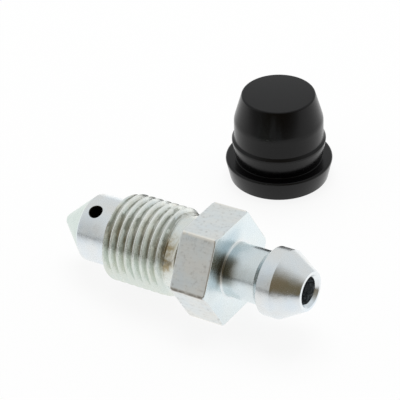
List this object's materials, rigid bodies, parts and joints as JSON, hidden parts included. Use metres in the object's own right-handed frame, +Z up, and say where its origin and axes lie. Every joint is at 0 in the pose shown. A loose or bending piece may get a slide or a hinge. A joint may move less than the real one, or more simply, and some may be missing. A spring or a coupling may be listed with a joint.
{
  "type": "bleeder screw",
  "caption": "Hexagon bleeder screw with a fine thread, seat cone, cross hole and barbed hose nipple, beside its black rubber dust cap.",
  "frame": {"origin": "middle of the footprint of the screw and cap together, on the surface that both rest on", "axes": "+X from the screw's tip towards its mouth, +Y from the screw towards the cap, +Z up"},
  "size_m": [0.0315, 0.0379, 0.0112],
  "materials": {
    "zinc_plated_steel": "satin bright zinc plating over turned steel",
    "black_rubber": "smooth moulded black rubber, satin"
  },
  "bodies": {
    "root": {"bleeder_screw": "zinc_plated_steel", "dust_cap": "black_rubber"}
  },
  "joints": []
}
